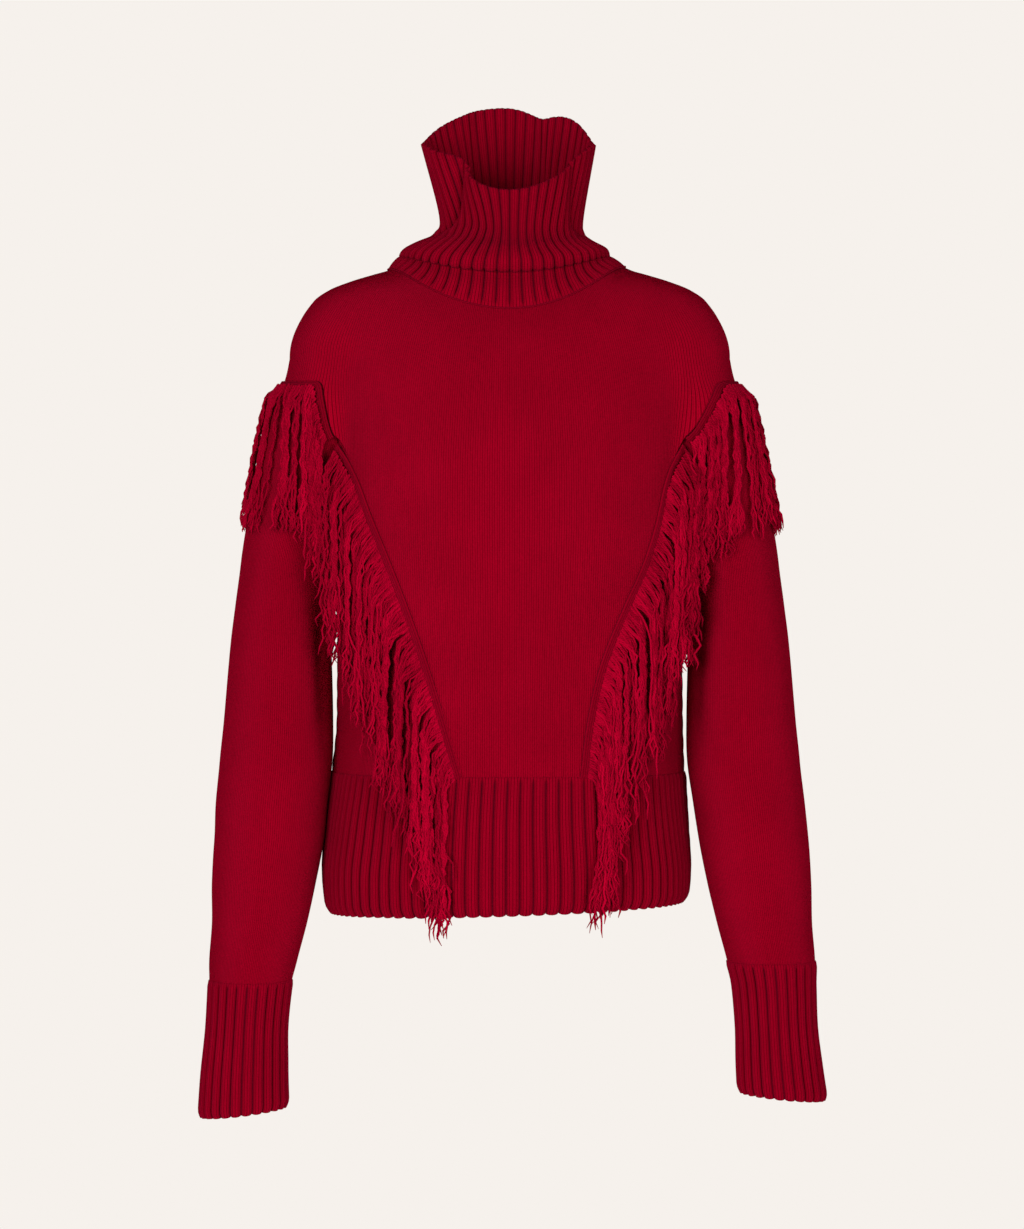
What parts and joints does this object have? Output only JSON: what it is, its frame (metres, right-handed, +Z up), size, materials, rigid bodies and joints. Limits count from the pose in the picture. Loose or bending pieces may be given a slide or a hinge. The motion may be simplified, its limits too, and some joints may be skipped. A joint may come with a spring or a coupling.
{
  "type": "turtleneck sweater",
  "caption": "Worn-shape knitted turtleneck sweater with a ribbed collar, hem and cuffs, and long yarn fringe along the slanting front seams and dropped shoulders.",
  "frame": {"origin": "base of the neck on the middle plane, level with the tops of the shoulders, where the wearer's shoulders hold the garment up", "axes": "+Z up from hem to collar, +Y to the wearer's back, +X to the right as seen from the front"},
  "size_m": [0.5618, 0.2299, 0.9102],
  "materials": {
    "knit_body": "plain wool knit",
    "knit_rib": "ribbed wool knit",
    "fringe_yarn": "loose wool yarn"
  },
  "bodies": {
    "root": {"front_panel": "knit_body", "back_panel": "knit_body", "side_front_left": "knit_body", "side_front_right": "knit_body", "sleeve_left": "knit_body", "sleeve_right": "knit_body", "hem_rib": "knit_rib", "cuff_left": "knit_rib", "cuff_right": "knit_rib", "collar": "knit_rib", "fringe_front_left": "fringe_yarn", "fringe_front_right": "fringe_yarn", "fringe_sleeve_left": "fringe_yarn", "fringe_sleeve_right": "fringe_yarn"}
  },
  "joints": []
}
